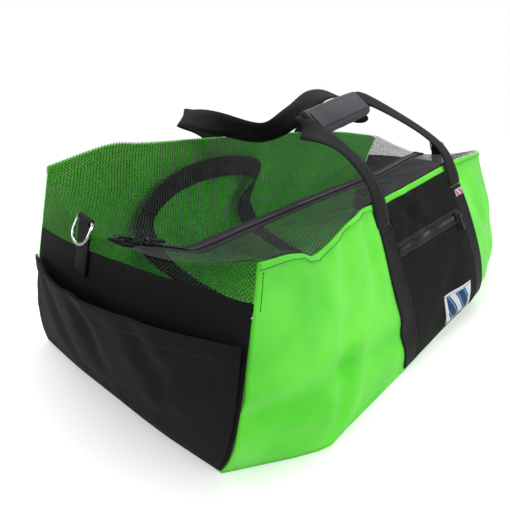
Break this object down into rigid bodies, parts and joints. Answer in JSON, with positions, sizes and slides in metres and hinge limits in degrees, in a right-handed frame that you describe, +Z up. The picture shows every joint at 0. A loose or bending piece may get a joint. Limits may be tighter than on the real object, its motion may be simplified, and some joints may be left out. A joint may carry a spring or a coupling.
{
  "type": "ski bag",
  "caption": "Mesh-topped ski gear duffel with green coated-fabric sides, black ends, a long top zipper, end slip pockets, a zipped front pocket and webbing carry handles.",
  "frame": {"origin": "on the ground under the middle of the bag's bounding box", "axes": "+X along the bag from the near end to the slumped far end, +Y from the front pocket wall to the back wall, +Z up"},
  "size_m": [0.9656, 0.5192, 0.3908],
  "materials": {
    "shell_fabric": "coated woven polyester, soft sheen",
    "black_fabric": "matt woven polyester",
    "mesh": "open knitted mesh",
    "webbing": "ribbed polyester webbing",
    "grip_fabric": "padded wrap with a satin face",
    "zipper": "nylon coil and woven tape",
    "slider_plastic": "moulded, satin",
    "ring_metal": "polished plating",
    "label_cloth": "printed and woven"
  },
  "bodies": {
    "bag": {"floor_panel": "shell_fabric", "front_wall": "shell_fabric", "back_wall": "shell_fabric", "near_end_panel": "black_fabric", "far_end_panel": "black_fabric", "near_mesh_gusset": "mesh", "far_mesh_gusset": "mesh", "near_pocket_panel": "black_fabric", "far_pocket_panel": "black_fabric", "near_pocket_hem": "black_fabric", "far_pocket_hem": "black_fabric", "mesh_top_front": "mesh", "mesh_top_back": "mesh", "zipper_tape_front": "zipper", "zipper_tape_back": "zipper", "zipper_teeth": "zipper", "near_zipper_stop": "black_fabric", "far_zipper_stop": "black_fabric", "front_pocket_lower": "black_fabric", "front_pocket_upper": "black_fabric", "front_pocket_tape": "zipper", "front_pocket_teeth": "zipper", "woven_label": "label_cloth", "front_handle_sewn_near": "webbing", "front_handle_sewn_far": "webbing", "back_handle_sewn_near": "webbing", "back_handle_sewn_far": "webbing", "side_tab_label": "label_cloth", "front_hem_near": "shell_fabric", "front_hem_far": "shell_fabric", "back_hem_near": "shell_fabric", "back_hem_middle": "shell_fabric", "back_hem_far": "shell_fabric", "near_ring_tab": "webbing", "far_ring_tab": "webbing", "stowed_strap": "webbing", "near_strap_hook": "ring_metal", "far_strap_hook": "ring_metal"},
    "rear_slider": {"rear_slider": "slider_plastic"},
    "rear_pull": {"rear_pull": "slider_plastic"},
    "lead_slider": {"lead_slider": "slider_plastic"},
    "lead_pull": {"lead_pull": "slider_plastic"},
    "front_pocket_slider": {"front_pocket_slider": "slider_plastic"},
    "front_pocket_pull": {"front_pocket_pull": "slider_plastic"},
    "near_ring": {"near_d_ring": "ring_metal"},
    "far_ring": {"far_d_ring": "ring_metal"},
    "front_handle": {"front_handle": "webbing", "grip_wrap": "grip_fabric"},
    "grip_flap": {"grip_flap": "grip_fabric"},
    "back_handle": {"back_handle": "webbing"},
    "near_gate": {"near_hook_gate": "ring_metal"},
    "far_gate": {"far_hook_gate": "ring_metal"}
  },
  "joints": [
    {"name": "rear_slider_run", "type": "slide", "parent": "bag", "child": "rear_slider", "axis": [0.9106, -0.0182, -0.4129], "range_m": [0, 0.006]},
    {"name": "rear_pull_swing", "type": "hinge", "parent": "rear_slider", "child": "rear_pull", "pos_m": [-0.40379, 0.00476, 0.27027], "axis": [0.0166, 0.9998, -0.0075], "range_deg": [0, 110]},
    {"name": "lead_slider_run", "type": "slide", "parent": "bag", "child": "lead_slider", "axis": [0.9106, -0.0182, -0.4129], "range_m": [0, 0.034]},
    {"name": "lead_pull_swing", "type": "hinge", "parent": "lead_slider", "child": "lead_pull", "pos_m": [-0.38194, 0.00433, 0.26036], "axis": [-0.0166, -0.9998, 0.0075], "range_deg": [0, 110]},
    {"name": "front_pocket_slider_run", "type": "slide", "parent": "bag", "child": "front_pocket_slider", "axis": [-0.999, 0.0446, -0.0038], "range_m": [0, 0.06]},
    {"name": "front_pocket_pull_swing", "type": "hinge", "parent": "front_pocket_slider", "child": "front_pocket_pull", "pos_m": [0.1268, -0.21004, 0.19199], "axis": [-0.999, 0.0446, -0.0038], "range_deg": [0, 150]},
    {"name": "near_ring_swing", "type": "hinge", "parent": "bag", "child": "near_ring", "pos_m": [-0.43446, 0.05778, 0.29036], "axis": [0.0282, 0.9837, 0.1773], "range_deg": [0, 140]},
    {"name": "far_ring_swing", "type": "hinge", "parent": "bag", "child": "far_ring", "pos_m": [0.43336, -0.02089, 0.2199], "axis": [-0.0184, -0.9976, 0.067], "range_deg": [0, 140]},
    {"name": "front_handle_swing", "type": "hinge", "parent": "bag", "child": "front_handle", "pos_m": [0.042, -0.1773, 0.231], "axis": [0.9997, -0.025, 0.0075], "range_deg": [0, 110]},
    {"name": "grip_flap_peel", "type": "hinge", "parent": "front_handle", "child": "grip_flap", "pos_m": [-0.02638, -0.03265, 0.38467], "axis": [-0.997, -0.0598, -0.0499], "range_deg": [0, 100]},
    {"name": "back_handle_swing", "type": "hinge", "parent": "bag", "child": "back_handle", "pos_m": [0.043, 0.1812, 0.2485], "axis": [-0.991, 0.0149, 0.1328], "range_deg": [0, 110]},
    {"name": "near_gate_open", "type": "hinge", "parent": "bag", "child": "near_gate", "pos_m": [-0.12329, 0.00457, 0.0045], "axis": [0, 0, 1], "range_deg": [0, 35], "stiffness_Nm_per_rad": 0.02, "springref_deg": -28.65},
    {"name": "far_gate_open", "type": "hinge", "parent": "bag", "child": "far_gate", "pos_m": [0.11571, 0.00457, 0.0045], "axis": [0, 0, 1], "range_deg": [0, 35], "stiffness_Nm_per_rad": 0.02, "springref_deg": -28.65}
  ]
}
